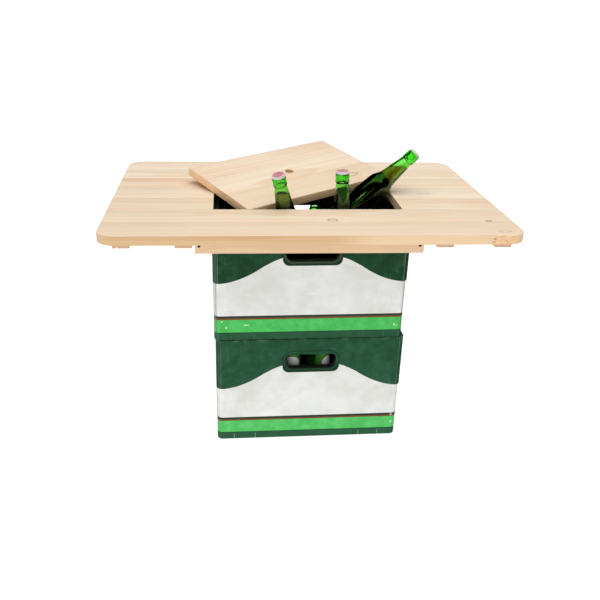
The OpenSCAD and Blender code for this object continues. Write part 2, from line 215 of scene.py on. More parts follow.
# ------------------------------------------------------------------ pine
def pine(name, seed, tone=0.0, pink=0.0, pith=(0.0, -0.11), ring=0.0046, knots=(), contrast=1.0, edge=1.0,
         bright_edge=False, end_light_paint=0.0, end_light_paint_tone=(186, 142, 112), side_light_paint_tone=None):
    """planed softwood, grain along the object's X. knots: (x, y, length, width, darkness) in mm"""
    mat, t, bsdf, out = material(name)
    p = t.coords()
    x, y, z = t.sep(p)
    sx = t.m("ADD", x, seed * 3.17)
    # slow wander of the growth rings along the board
    wander = t.noise(t.comb(t.m("MULTIPLY", sx, 1.1), t.m("MULTIPLY", y, 5.0), t.m("MULTIPLY", z, 5.0)), 1.0, 2.0, 0.5)
    wander = t.m("MULTIPLY", t.m("SUBTRACT", wander, 0.5), 0.055)
    wave = t.noise(t.comb(t.m("MULTIPLY", sx, 6.0), t.m("MULTIPLY", y, 14.0), t.m("MULTIPLY", z, 14.0)), 1.0, 3.0, 0.55)
    wave = t.m("MULTIPLY", t.m("SUBTRACT", wave, 0.5), 0.010)
    dy = t.m("ADD", t.m("SUBTRACT", y, pith[0]), wander)
    dz = t.m("ADD", t.m("SUBTRACT", z, pith[1]), wave)
    rad = t.m("SQRT", t.m("ADD", t.m("MULTIPLY", dy, dy), t.m("MULTIPLY", dz, dz)))
    knot_core = None
    knot_ring = None
    for kx, ky, kl, kw, kd in knots:
        ex = t.m("DIVIDE", t.m("SUBTRACT", x, kx * MM), kl * MM)
        ey = t.m("DIVIDE", t.m("SUBTRACT", y, ky * MM), kw * MM)
        jit = t.noise(t.v("SCALE", p, 90.0), 1.0, 2.0, 0.5)
        r2 = t.m("ADD", t.m("MULTIPLY", ex, ex), t.m("MULTIPLY", ey, ey))
        r2 = t.m("MULTIPLY", r2, t.m("ADD", 0.7, t.m("MULTIPLY", jit, 0.6)))
        swell = t.m("MULTIPLY", t.m("EXPONENT", t.m("MULTIPLY", r2, -0.16)), 0.017)
        rad = t.m("ADD", rad, swell)
        core = t.m("MULTIPLY", t.step(r2, 0.35, 1.0, 1.0, 0.0), kd if kd > 0.9 else kd * 0.35)
        rim = t.m("MULTIPLY", t.m("MULTIPLY", t.step(r2, 0.45, 0.9), t.step(r2, 0.9, 1.7, 1.0, 0.0)), min(1.0, kd * 1.2))
        knot_core = core if knot_core is None else t.m("MAXIMUM", knot_core, core)
        knot_ring = rim if knot_ring is None else t.m("MAXIMUM", knot_ring, rim)
    rings = t.m("FRACT", t.m("DIVIDE", rad, ring))
    late = t.m("MULTIPLY", t.step(rings, 0.25, 0.86), t.step(rings, 0.90, 1.0, 1.0, 0.0))
    # wider seasons, so that lines come and go
    season = t.noise(t.comb(t.m("MULTIPLY", rad, 160.0), seed, t.m("MULTIPLY", sx, 0.8)), 1.0, 2.0, 0.6)
    late = t.m("MULTIPLY", late, t.step(season, 0.35, 0.72, 0.15, 1.0))
    fibre = t.noise(t.comb(t.m("MULTIPLY", sx, 9.0), t.m("MULTIPLY", y, 700.0), t.m("MULTIPLY", z, 700.0)), 1.0, 3.0, 0.6)
    streak = t.noise(t.comb(t.m("MULTIPLY", sx, 1.6), t.m("MULTIPLY", y, 60.0), t.m("MULTIPLY", z, 60.0)), 1.0, 2.0, 0.55)
    blot = t.noise(t.comb(t.m("MULTIPLY", sx, 3.0), t.m("MULTIPLY", y, 12.0), t.m("MULTIPLY", z, 12.0)), 1.0, 2.0, 0.5)
    early = lin(242 + 3 * tone, 223 + 5 * tone, 196 + 7 * tone)
    latew = lin(232, 200, 161)
    rosy = lin(240, 201, 172)
    col = t.mixc(t.m("MULTIPLY", late, 0.62 * contrast), early, latew)
    pinkmix = t.m("MULTIPLY", t.step(streak, 0.34, 0.66), 0.30 + 0.55 * pink, clamp=True)
    col = t.mixc(pinkmix, col, rosy)
    col = t.mixc(t.m("MULTIPLY", t.step(blot, 0.45, 0.75), 0.35), col, lin(243, 226, 203))
    col = t.mixc(t.m("MULTIPLY", t.step(fibre, 0.50, 0.80), 0.16), col, lin(214, 178, 136))
    # sawn faces: long edges warmer, end grain warmer and a little darker
    nx, ny, nz = t.sep(t.normal())
    side = t.step(t.m("ABSOLUTE", ny), 0.35, 0.95)
    end = t.step(t.m("ABSOLUTE", nx), 0.35, 0.95)
    sawn = t.noise(t.comb(t.m("MULTIPLY", sx, 2.4), t.m("MULTIPLY", y, 30.0), t.m("MULTIPLY", z, 150.0)), 1.0, 3.0, 0.6)
    warm = t.mixc(t.step(sawn, 0.30, 0.70), lin(215, 168, 109), lin(232, 193, 142))
    warm = t.mixc(t.m("MULTIPLY", late, 0.5), warm, lin(204, 150, 94))
    if bright_edge:
        warm = t.mixc(t.m("MULTIPLY", t.step(x, 0.01, 0.13), 0.92), warm, t.mixc(late, lin(255, 224, 182), lin(243, 194, 140)))
        swirl = t.noise(t.comb(t.m("MULTIPLY", x, 70.0), t.m("MULTIPLY", y, 60.0), t.m("MULTIPLY", z, 210.0)), 1.0, 3.0, 0.6, 1.2)
        corner = t.m("MULTIPLY", t.step(x, 0.310, 0.335), t.step(swirl, 0.42, 0.62))
        warm = t.mixc(t.m("MULTIPLY", corner, 0.85), warm, lin(250, 184, 108))
        for kx, kz, kr in ((0.3300, 0.5121, 0.0022), (0.3291, 0.5065, 0.0019), (0.3520, 0.5090, 0.0012)):
            gx = t.m("MULTIPLY", t.m("SUBTRACT", x, kx), 0.55)
            gz = t.m("SUBTRACT", z, kz)
            g = t.m("SQRT", t.m("ADD", t.m("MULTIPLY", gx, gx), t.m("MULTIPLY", gz, gz)))
            warm = t.mixc(t.m("MULTIPLY", t.step(g, kr * 0.5, kr, 1.0, 0.0), 0.8), warm, lin(150, 104, 58))
    # a lighter side colour where one is given: painted light on the lid's lit sides
    if side_light_paint_tone is not None:
        warm = t.mixc(0.75, warm, t.mixc(late, lin(*side_light_paint_tone), lin(226, 180, 126)))
    col = t.mixc(t.m("MULTIPLY", side, 0.80 * edge), col, warm)
    speck = t.noise(t.v("SCALE", p, 1400.0), 1.0, 2.0, 0.6)
    endc = t.mixc(late, lin(236, 203, 166), lin(208, 164, 122))
    endc = t.mixc(t.m("MULTIPLY", t.step(speck, 0.45, 0.75), 0.25), endc, lin(196, 150, 108))
    # painted light and shade on the end grain: a lighter tone where the lid's ends are lit, a darker tone on the
    # battens' shaded front ends
    endc = t.mixc(end_light_paint, endc, lin(*end_light_paint_tone))
    col = t.mixc(t.m("MULTIPLY", end, 0.85), col, endc)
    height = t.m("ADD", t.m("MULTIPLY", late, 0.45), t.m("MULTIPLY", fibre, 0.35))
    if knot_core is not None:
        inner = t.noise(t.v("SCALE", p, 260.0), 1.0, 2.0, 0.6)
        kcol = t.mixc(inner, lin(196, 160, 124), lin(168, 130, 98))
        col = t.mixc(t.m("MULTIPLY", knot_core, 0.85), col, kcol)
        col = t.mixc(t.m("MULTIPLY", knot_ring, 0.9), col, lin(118, 92, 74))
        height = t.m("SUBTRACT", height, t.m("MULTIPLY", knot_ring, 0.4))
    t.put(bsdf.inputs["Base Color"], col)
    rough = t.m("ADD", 0.50, t.m("MULTIPLY", fibre, 0.16))
    t.put(bsdf.inputs["Roughness"], rough)
    bsdf.inputs["Specular IOR Level"].default_value = 0.35
    t.put(bsdf.inputs["Normal"], t.bump(height, 0.22, 0.0004))
    return mat


# ------------------------------------------------------------------ mesh helpers
def obj_from_bm(name, bm, mat, matrix=None, smooth_angle=35.0, bake=False):
    """bake puts the placing into the mesh, so that a tilted object's own box is no larger than the object"""
    me = bpy.data.meshes.new(name)
    if bake:
        bmesh.ops.transform(bm, matrix=matrix, verts=bm.verts)
        matrix = None
    bm.to_mesh(me)
    bm.free()
    me.materials.append(mat)
    for poly in me.polygons:
        poly.use_smooth = True
    ob = bpy.data.objects.new(name, me)
    scene.collection.objects.link(ob)
    if matrix is not None:
        ob.matrix_world = matrix
    me.set_sharp_from_angle(angle=math.radians(smooth_angle))
    return ob


def bm_from_node(node, inverse=None):
    bm = bmesh.new()
    bm.from_mesh(NODES[node].data)
    if inverse is not None:
        bmesh.ops.transform(bm, matrix=inverse, verts=bm.verts)
    bmesh.ops.remove_doubles(bm, verts=bm.verts, dist=1e-5)
    bmesh.ops.dissolve_limit(bm, angle_limit=math.radians(0.4), verts=bm.verts, edges=bm.edges)
    return bm


def sharp_edges(bm, angle=30.0, pick=None):
    out = []
    for e in bm.edges:
        if len(e.link_faces) != 2:
            continue
        if e.calc_face_angle(0.0) > math.radians(angle):
            if pick is None or pick((e.verts[0].co + e.verts[1].co) / 2, e):
                out.append(e)
    return out


def bevel(bm, edges, width, segments=2):
    if edges:
        bmesh.ops.bevel(bm, geom=edges, offset=width * MM, offset_type="OFFSET", segments=segments,
                        profile=0.5, affect="EDGES", clamp_overlap=True)


def place(ob, body, nodes=()):
    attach(ob, body)
    if nodes:
        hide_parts(*nodes)
    return ob


# ------------------------------------------------------------------ table top
# (node, seed, tone, pink, pith y mm, pith z mm, knots)
BOARDS = [
    ("front_outer_board", 1.3, 0.0, 0.05, -236, 395, [(356, -257, 12, 6, 0.30)]),
    ("front_inner_board", 2.7, 0.1, 0.05, -150, 410, [(44.2, -188.5, 9, 7.5, 0.60), (346.3, -195.5, 6, 3.5, 0.95)]),
    ("left_board_front", 3.9, -0.4, 0.95, -84, 380, []),
    ("left_board_middle", 4.4, 0.4, 0.10, 12, 400, []),
    ("left_board_back", 5.2, 0.2, 0.95, 66, 380, []),
    ("right_board_front", 6.1, 0.1, 0.55, -96, 390, []),
    ("right_board_middle", 7.3, 2.0, 0.02, -20, 400, [(268, -6, 14, 6, 0.22)]),
    ("right_board_back", 8.8, 0.8, 0.05, 96, 410, []),
    ("back_inner_board", 9.4, 2.2, 0.05, 150, 400, []),
    ("back_outer_board", 10.6, 2.0, 0.10, 246, 390, []),
]
for node, seed, tone, pinkness, py, pz, knots in BOARDS:
    mat = pine("pine_" + node, seed, tone, pinkness, (py * MM, pz * MM), 0.0046 + 0.0004 * math.sin(seed * 7), knots,
               bright_edge=node == "front_outer_board")
    bm = bm_from_node(node)
    outline = sharp_edges(bm, 30, lambda c, e: (abs(c.x) > 0.3925 or abs(c.y) > 0.2795
                                               or (abs(c.x) > 0.359 and abs(c.y) > 0.246
                                                   and math.hypot(abs(c.x) - 0.359, abs(c.y) - 0.246) > 0.0332))
                          and (c.z > 0.5185 or c.z < 0.5015))
    bevel(bm, outline, 0.9, 3)
    seams = sharp_edges(bm, 40, lambda c, e: c.z > 0.5188 and abs(c.x) < 0.3905 and abs(c.y) < 0.278
                        and e.calc_length() > 0.02)
    bevel(bm, seams, 0.55, 2)
    ob = obj_from_bm(node + "_piece", bm, mat)
    place(ob, "table_top", [node])

# ------------------------------------------------------------------ battens and locating frame
for i, node in enumerate(["batten_left_outer", "batten_left_inner", "batten_right_inner", "batten_right_outer"]):
    # grain runs along Y here, so the piece is turned to lie along its own X
    turn = Matrix.Rotation(math.radians(90), 4, "Z")
    bm = bm_from_node(node, turn.inverted())
    bevel(bm, sharp_edges(bm, 40, lambda c, e: e.calc_length() > 0.006), 0.7, 2)
    # the battens' end grain is painted darker: painted shade on their front ends
    ob = obj_from_bm(node + "_piece", bm, pine("pine_" + node, 12.1 + i * 1.7, -0.3, 0.2, (0.1 * i, 0.44), 0.005, (), 1.1,
                                              end_light_paint=0.55), turn)
    place(ob, "table_top", [node])
for i, node in enumerate(["apron_front", "apron_back"]):
    bm = bm_from_node(node)
    bevel(bm, sharp_edges(bm, 40, lambda c, e: e.calc_length() > 0.006), 0.8, 2)
    ob = obj_from_bm(node + "_piece", bm, pine("pine_" + node, 21.1 + i * 2.3, 0.0, 0.1, (-0.06 + 0.3 * i, 0.47), 0.0042, (), 1.0, 0.55))
    place(ob, "table_top", [node])
for i, node in enumerate(["rail_left", "rail_right"]):
    turn = Matrix.Rotation(math.radians(90), 4, "Z")
    bm = bm_from_node(node, turn.inverted())
    bevel(bm, sharp_edges(bm, 40, lambda c, e: e.calc_length() > 0.006), 0.8, 2)
    ob = obj_from_bm(node + "_piece", bm, pine("pine_" + node, 31.4 + i * 1.9, -0.2, 0.2, (0.15, 0.47), 0.0046, (), 1.0, 0.6), turn)
    place(ob, "table_top", [node])

# ------------------------------------------------------------------ lid
for node, seed, tone, pinkness, py, pz, knots in [
    ("lid_board_back", 41.2, 0.2, 0.45, 100, -90, []),
    ("lid_board_middle", 43.5, 0.9, 0.02, -20, -120, []),
    ("lid_board_front", 45.9, -0.6, 0.12, -60, -70, [(116, -79.5, 15, 8, 0.45)]),
]:
    bm = bm_from_node(node, LID.inverted())
    rim = sharp_edges(bm, 30, lambda c, e: abs(c.x) > 0.1885 or abs(c.y) > 0.1185)
    bevel(bm, rim, 1.0, 2)
    seams = sharp_edges(bm, 40, lambda c, e: c.z > -0.0002 and abs(c.x) < 0.187 and abs(c.y) < 0.1175)
    bevel(bm, seams, 0.5, 2)
    # painted light: the lid's end grain and long sides get lighter tones
    ob = obj_from_bm(node + "_piece", bm, pine("pine_" + node, seed, tone, pinkness, (py * MM, pz * MM), 0.0050, knots, 1.0,
                                               end_light_paint=0.85, end_light_paint_tone=(255, 216, 166), side_light_paint_tone=(253, 216, 164)), LID)
    place(ob, "lid", [node])


# ------------------------------------------------------------------ screws
def screw_material(name, dark, pale):
    mat, t, bsdf, out = material(name)
    p = t.coords()
    g = t.noise(t.v("SCALE", p, 900.0), 1.0, 3.0, 0.6)
    t.put(bsdf.inputs["Base Color"], t.mixc(g, dark, pale))
    bsdf.inputs["Metallic"].default_value = 1.0
    t.put(bsdf.inputs["Roughness"], t.m("ADD", 0.28, t.m("MULTIPLY", g, 0.25)))
    t.put(bsdf.inputs["Normal"], t.bump(g, 0.2, 0.0002))
    return mat


for node, m in (("batten_screws", screw_material("screw_zinc", lin(120, 96, 62), lin(176, 150, 104))),
                ("apron_screws", screw_material("screw_dark", lin(70, 52, 34), lin(112, 86, 56)))):
    ob = NODES[node]
    ob.data.materials.clear()
    ob.data.materials.append(m)


# ------------------------------------------------------------------ crates
def crate_material(name, seed, film_strength, tones, marks, corner_light_paint, collar_tone, collar_mix, lift, speck_glint_spots):
    mat, t, bsdf, out = material(name)
    p = t.coords()
    x, y, z = t.sep(p)
    x = t.m("MULTIPLY", x, 1000.0)
    y = t.m("MULTIPLY", y, 1000.0)
    z = t.m("MULTIPLY", z, 1000.0)
    ax, ay = t.m("ABSOLUTE", x), t.m("ABSOLUTE", y)
    # lower edge of the green zone: a power curve far out, a straight rise near the handle
    px = t.m("ABSOLUTE", t.m("SUBTRACT", x, 1.4))
    far = t.m("MAXIMUM", t.m("SUBTRACT", 190.0, t.m("MAXIMUM", px, 100.0)), 0.0)
    w = t.m("ADD", 129.5, t.m("MULTIPLY", t.m("POWER", far, 1.8), 0.01077))
    w = t.m("ADD", w, t.m("MULTIPLY", t.m("MAXIMUM", t.m("SUBTRACT", 100.0, px), 0.0), 0.56))
    w = t.m("SUBTRACT", w, t.m("MULTIPLY", t.m("POWER", t.m("MAXIMUM", t.m("SUBTRACT", 86.0, px), 0.0), 2.0), 0.0055))
    longside = t.m("GREATER_THAN", ay, 146.0)
    w = t.m("ADD", 129.5, t.m("MULTIPLY", t.m("SUBTRACT", w, 129.5), longside))
    fx = t.m("MAXIMUM", t.m("SUBTRACT", px, 47.0), 0.0)
    fz = t.m("MAXIMUM", t.m("SUBTRACT", 180.0, z), 0.0)
    handle = t.m("LESS_THAN", t.m("SQRT", t.m("ADD", t.m("MULTIPLY", fx, fx), t.m("MULTIPLY", fz, fz))), 13.6)
    cy = t.m("MINIMUM", ay, 130.0)
    ws = t.m("COSINE", t.m("MULTIPLY", cy, math.pi / 130.0))
    ws = t.m("MULTIPLY", t.m("ADD", ws, 1.0), 24.0)
    endside = t.m("GREATER_THAN", ax, 196.0)
    w = t.m("ADD", w, t.m("MULTIPLY", ws, endside))
    w = t.m("SUBTRACT", w, 0.35)
    below = t.m("LESS_THAN", z, w)
    below = t.m("MULTIPLY", below, t.m("SUBTRACT", 1.0, t.m("MULTIPLY", handle, longside)))
    skin = t.m("MAXIMUM", t.m("GREATER_THAN", ay, 146.0), t.m("GREATER_THAN", ax, 196.0))
    rr = t.m("SQRT", t.m("ADD", t.m("POWER", t.m("MAXIMUM", t.m("SUBTRACT", ax, 187.0), 0.0), 2.0),
                         t.m("POWER", t.m("MAXIMUM", t.m("SUBTRACT", ay, 137.0), 0.0), 2.0)))
    skin = t.m("MAXIMUM", skin, t.m("GREATER_THAN", rr, 9.6))
    zone = t.m("MULTIPLY", t.m("MULTIPLY", below, t.m("GREATER_THAN", z, 18.0)), skin)

    deep, mid = tones
    pos = t.v("ADD", p, (seed, seed * 0.7, 0.0))
    big = t.noise(t.v("SCALE", pos, 14.0), 1.0, 3.0, 0.6)
    fine = t.noise(t.v("SCALE", pos, 420.0), 1.0, 3.0, 0.6)
    cloud = t.noise(t.v("SCALE", pos, 45.0), 1.0, 4.0, 0.65)
    # rubbed marks, long and level
    rub = t.noise(t.comb(t.m("MULTIPLY", t.m("ADD", x, seed * 900.0), 0.018), t.m("MULTIPLY", y, 0.02), t.m("MULTIPLY", z, 0.55)), 1.0, 4.0, 0.65)
    rubs = t.m("MULTIPLY", t.step(rub, 0.60, 0.72), t.step(big, 0.40, 0.62))
    # upright rubbing near the corners
    corner = t.m("MULTIPLY", t.step(ax, 120.0, 190.0), 1.0)
    upright = t.noise(t.comb(t.m("MULTIPLY", t.m("ADD", x, seed * 500.0), 0.35), t.m("MULTIPLY", y, 0.35), t.m("MULTIPLY", z, 0.018)), 1.0, 3.0, 0.6)
    uprights = t.m("MULTIPLY", t.m("MULTIPLY", t.step(upright, 0.56, 0.72), corner), t.step(cloud, 0.35, 0.6))
    chip = t.m("MULTIPLY", t.step(t.noise(t.v("SCALE", pos, 240.0), 1.0, 2.0, 0.5), 0.68, 0.74), t.m("MULTIPLY", t.step(ax, 150.0, 196.0, 0.15, 1.0),
                                                                                                 t.step(ay, 112.0, 146.0, 0.1, 1.0)))

    green = t.mixc(t.step(cloud, 0.35, 0.70), deep, mid)
    green = t.mixc(t.m("MULTIPLY", t.step(fine, 0.5, 0.8), 0.30), green, lin(46, 84, 62))
    green = t.mixc(t.m("MULTIPLY", rubs, 0.38), green, lin(112, 146, 122))
    green = t.mixc(t.m("MULTIPLY", uprights, 0.30), green, lin(120, 150, 128))
    white = t.mixc(t.step(big, 0.35, 0.65), lin(228 + lift, 229 + lift, 223 + lift), lin(240 + lift, 241 + lift, 238 + lift))
    white = t.mixc(t.m("MULTIPLY", t.step(cloud, 0.45, 0.75), 0.22), white, lin(214, 215, 208))
    white = t.mixc(t.m("MULTIPLY", rubs, 0.75), white, lin(250, 250, 248))
    white = t.mixc(t.m("MULTIPLY", uprights, 0.55), white, lin(190, 190, 184))
    white = t.mixc(t.m("MULTIPLY", chip, 0.6), white, lin(250, 250, 250))
    bright = t.mixc(t.step(cloud, 0.35, 0.7), lin(75 + lift, 194 + lift, 90 + lift), lin(93 + lift, 210 + lift, 110 + lift))
    bright = t.mixc(t.m("MULTIPLY", rubs, 0.40), bright, lin(160, 222, 165))
    bright = t.mixc(t.m("MULTIPLY", chip, 0.7), bright, lin(205, 232, 205))
    brown = t.mixc(cloud, lin(118, 72, 46), lin(140, 100, 66))
    line = t.mixc(t.m("MULTIPLY", rubs, 0.4), lin(58, 66, 54), lin(120, 140, 124))
    stripes = t.mixc(t.step(z, 47.2, 47.8), bright, brown)
    stripes = t.mixc(t.step(z, 50.8, 51.6), stripes, line)
    stripes = t.mixc(t.step(z, 56.0, 56.6), stripes, white)
    # film edge at the corners of the pale panel
    film = t.m("MULTIPLY", t.step(t.m("ABSOLUTE", t.m("SUBTRACT", ax, 193.8)), 0.35, 0.8, 1.0, 0.0), t.m("GREATER_THAN", ay, 120.0))
    film_low = t.m("MULTIPLY", film, t.m("LESS_THAN", z, 56.0))
    film_high = t.m("MULTIPLY", film, t.m("GREATER_THAN", z, 56.0))
    stripes = t.mixc(t.m("MULTIPLY", film_high, 0.85 * film_strength), stripes, lin(84, 88, 80))
    stripes = t.mixc(t.m("MULTIPLY", film_low, 0.75 * film_strength), stripes, lin(40, 120, 55))
    # the pale panel yellows a little beyond the film's edge
    beyond = t.m("MULTIPLY", t.step(ax, 193.4, 194.2), t.m("GREATER_THAN", ay, 136.0))
    stripes = t.mixc(t.m("MULTIPLY", beyond, 0.30 * film_strength), stripes, lin(150, 160, 140))
    # the rounded upright corners of the green zone: a painted reflection (paler grey-green) round the left side,
    # painted shade round the right side, and a painted highlight line where they begin
    left = t.m("MULTIPLY", t.step(x, -192.8, -191.6, 1.0, 0.0), skin)
    right = t.m("MULTIPLY", t.step(x, 190.6, 191.8), skin)
    green = t.mixc(t.m("MULTIPLY", left, 0.75 * corner_light_paint), green, lin(74, 96, 84))
    green = t.mixc(t.m("MULTIPLY", right, 0.45 * corner_light_paint), green, lin(20, 46, 32))
    corner_highlight_line = t.m("MULTIPLY", t.step(t.m("ABSOLUTE", t.m("SUBTRACT", ax, 190.2)), 0.5, 1.2, 1.0, 0.0), t.m("GREATER_THAN", ay, 140.0))
    green = t.mixc(t.m("MULTIPLY", corner_highlight_line, t.m("ADD", 0.15, t.m("MULTIPLY", cloud, 0.55 * corner_light_paint))), green, lin(128, 156, 134))
    # painted shadow lines: a dark line along the lower edge of the green zone and round the handle
    above = t.m("SUBTRACT", z, w)
    step_shadow_line = t.m("MULTIPLY", t.m("MULTIPLY", t.step(above, 0.6, 2.6, 1.0, 0.0), t.m("GREATER_THAN", z, 122.0)), skin)
    green = t.mixc(t.m("MULTIPLY", step_shadow_line, 0.45), green, lin(14, 40, 22))
    qx = t.m("MAXIMUM", t.m("SUBTRACT", px, 38.5), 0.0)
    qz = t.m("MAXIMUM", t.m("SUBTRACT", t.m("ABSOLUTE", t.m("SUBTRACT", z, 193.75)), 1.75), 0.0)
    hole = t.m("SQRT", t.m("ADD", t.m("MULTIPLY", qx, qx), t.m("MULTIPLY", qz, qz)))
    collar = t.m("MULTIPLY", t.m("MULTIPLY", t.step(hole, 22.2, 22.8, 1.0, 0.0), t.m("LESS_THAN", z, 190.0)), longside)
    green = t.mixc(t.m("MULTIPLY", collar, collar_mix), green, collar_tone)
    # painted shadow line round the handle's collar
    rim = t.m("MULTIPLY", t.m("MULTIPLY", t.step(hole, 19.8, 21.4), t.step(hole, 22.4, 24.0, 1.0, 0.0)), longside)
    green = t.mixc(t.m("MULTIPLY", rim, 0.55), green, lin(12, 34, 20))
    green = t.mixc(t.m("MULTIPLY", t.m("LESS_THAN", z, 18.0), 0.55), green, lin(54, 108, 75))
    col = t.mixc(zone, green, stripes)
    # dark line where the foot band begins
    groove = t.m("MULTIPLY", t.step(t.m("ABSOLUTE", t.m("SUBTRACT", z, 17.9)), 0.5, 1.3, 1.0, 0.0), skin)
    col = t.mixc(t.m("MULTIPLY", groove, 0.75), col, lin(14, 44, 20))
    # marks on the foot
    foot = None
    for fxm in (-162.0, -115.5, 115.0, 158.0):
        q = t.step(t.m("ABSOLUTE", t.m("SUBTRACT", x, fxm)), 0.5, 1.2, 1.0, 0.0)
        foot = q if foot is None else t.m("MAXIMUM", foot, q)
    foot = t.m("MULTIPLY", foot, t.m("MULTIPLY", t.m("LESS_THAN", z, 14.0), skin))
    col = t.mixc(t.m("MULTIPLY", foot, marks), col, lin(170, 190, 176))
    # small pale spots on the bands of the front, partly wear and partly painted glints: (x, z, half width, half height)
    # in mm
    speck_glint_mask = None
    for wx, wz, wa, wb in speck_glint_spots:
        ex = t.m("DIVIDE", t.m("SUBTRACT", x, wx), wa)
        ez = t.m("DIVIDE", t.m("SUBTRACT", z, wz), wb)
        q = t.m("ADD", t.m("MULTIPLY", ex, ex), t.m("MULTIPLY", ez, ez))
        q = t.step(t.m("MULTIPLY", q, t.m("ADD", 0.5, fine)), 0.5, 1.3, 1.0, 0.0)
        speck_glint_mask = q if speck_glint_mask is None else t.m("MAXIMUM", speck_glint_mask, q)
    speck_glint_mask = t.m("MULTIPLY", speck_glint_mask, t.m("LESS_THAN", y, -120.0))
    col = t.mixc(t.m("MULTIPLY", speck_glint_mask, 0.6), col, lin(244, 248, 244))
    # pale wear where edges rub: upper rim and foot edge
    rimwear = t.m("MULTIPLY", t.step(z, 241.5, 245.2), t.step(cloud, 0.48, 0.62))
    footwear = t.m("MULTIPLY", t.step(z, 0.5, 3.0, 1.0, 0.0), t.step(cloud, 0.48, 0.62))
    wear = t.m("MULTIPLY", t.m("MAXIMUM", rimwear, footwear), skin)
    col = t.mixc(t.m("MULTIPLY", wear, 0.25), col, lin(150, 172, 154))
    # painted shade: inside faces deeper than 10 mm behind the outer skin are painted near black
    inside = t.m("SUBTRACT", 1.0, skin)
    inside_painted_shade = t.m("MULTIPLY", inside, t.step(t.m("MAXIMUM", t.m("SUBTRACT", ax, 196.0), t.m("SUBTRACT", ay, 146.0)), -10.0, 0.0, 1.0, 0.0))
    col = t.mixc(t.m("MULTIPLY", inside_painted_shade, 0.88), col, lin(14, 22, 17))
    nx, ny, nz = t.sep(t.normal())
    # the upward faces of the handle slot's sill are darker
    sill = t.m("MULTIPLY", t.step(nz, 0.3, 0.8), t.m("MULTIPLY", t.m("GREATER_THAN", z, 170.0), t.m("LESS_THAN", z, 184.0)))
    sill = t.m("MULTIPLY", sill, t.m("MULTIPLY", t.m("GREATER_THAN", ay, 136.0), t.m("LESS_THAN", px, 60.0)))
    col = t.mixc(t.m("MULTIPLY", sill, 0.9), col, lin(30, 34, 26))
    t.put(bsdf.inputs["Base Color"], col)
    rough = t.m("ADD", 0.34, t.m("MULTIPLY", t.m("MAXIMUM", rubs, t.m("MULTIPLY", fine, 0.6)), 0.28))
    t.put(bsdf.inputs["Roughness"], rough)
    bsdf.inputs["Specular IOR Level"].default_value = 0.15
    h = t.m("ADD", t.m("MULTIPLY", fine, 0.35), t.m("MULTIPLY", t.m("MAXIMUM", rubs, uprights), 0.5))
    t.put(bsdf.inputs["Normal"], t.bump(h, 0.25, 0.0003))
    return mat


def near_slot(c, e):
    y = abs(c.y)
    return (abs(c.x - 0.0014) < 0.0552 and 0.1755 < c.z < 0.2120 and y > 0.1495)


# both crates are the same kind; the upper one's darker greens and whites are partly its own tone, partly painted shade
# from the table top above it
CRATE_MATS = {
    "upper": crate_material("upper_crate_plastic", 1.7, 1.0, (lin(27, 68, 42), lin(37, 84, 54)), 0.08, 1.0,
                            lin(77, 86, 70), 0.75, -2,
                            ((-182.5, 43.4, 2.4, 1.6), (-173.5, 29.6, 2.0, 2.6), (-131.0, 35.0, 6.5, 1.4),
                             (-171.0, 72.0, 7.0, 1.6), (-180.0, 64.0, 2.4, 2.4), (179.5, 30.3, 2.4, 2.0), (184.8, 28.3, 1.8, 1.8),
                             (188.0, 62.0, 2.0, 6.0), (-128.0, 104.0, 9.0, 1.2), (0.0, 104.0, 14.0, 1.2))),
    "lower": crate_material("lower_crate_plastic", 4.9, 0.18, (lin(37, 84, 58), lin(48, 100, 72)), 0.55, 0.35,
                            lin(48, 83, 60), 0.35, 9,
                            ((186.4, 52.1, 2.8, 2.4), (187.3, 33.4, 2.2, 3.6), (187.0, 96.0, 2.0, 7.0), (160.0, 84.0, 1.6, 12.0),
                             (-132.0, 90.0, 3.5, 9.0), (-176.0, 100.0, 2.5, 14.0))),
}
for tag, place_m, body in (("upper", UPPER, "upper_crate"), ("lower", LOWER, "lower_crate")):
    node = tag + "_crate_body"
    bm = bm_from_node(node, place_m.inverted())
    bevel(bm, sharp_edges(bm, 40, near_slot), 2.2, 4)
    foot = sharp_edges(bm, 40, lambda c, e: c.z < 0.0005 and (abs(c.x) > 0.197 or abs(c.y) > 0.147
                                                              or (abs(c.x) > 0.187 and abs(c.y) > 0.137 and
                                                                  math.hypot(abs(c.x) - 0.187, abs(c.y) - 0.137) > 0.0100)))
    bevel(bm, foot, 2.3, 4)
    # rounded lower edge of the green zone
    step_edge = sharp_edges(bm, 40, lambda c, e: 0.125 < c.z < 0.192 and not near_slot(c, e)
                            and (abs(c.x) > 0.1995 or abs(c.y) > 0.1495
                                 or (abs(c.x) > 0.187 and abs(c.y) > 0.137 and
                                     math.hypot(abs(c.x) - 0.187, abs(c.y) - 0.137) > 0.0126)))
    bevel(bm, step_edge, 1.5, 3)
    rest = sharp_edges(bm, 50, lambda c, e: c.z > 0.003 and (abs(c.x) > 0.190 or abs(c.y) > 0.140 or c.z > 0.23)
                       and not (abs(c.x - 0.0014) < 0.059 and 0.172 < c.z < 0.216)
                       and not (0.125 < c.z < 0.192 and (abs(c.x) > 0.195 or abs(c.y) > 0.145)))
    bevel(bm, rest, 0.9, 2)
    ob = obj_from_bm(node + "_piece", bm, CRATE_MATS[tag], place_m, 40)
    place(ob, body, [node])


# painted shade: the dividers are coloured far darker than the crate's own green, for the shaded inside of the crates
def divider_material():
    mat, t, bsdf, out = material("divider_plastic")
    p = t.coords()
    c = t.noise(t.v("SCALE", p, 60.0), 1.0, 3.0, 0.6)
    t.put(bsdf.inputs["Base Color"], t.mixc(c, lin(16, 34, 24), lin(26, 50, 36)))
    t.put(bsdf.inputs["Roughness"], t.m("ADD", 0.4, t.m("MULTIPLY", c, 0.2)))
    t.put(bsdf.inputs["Normal"], t.bump(c, 0.2, 0.0003))
    return mat


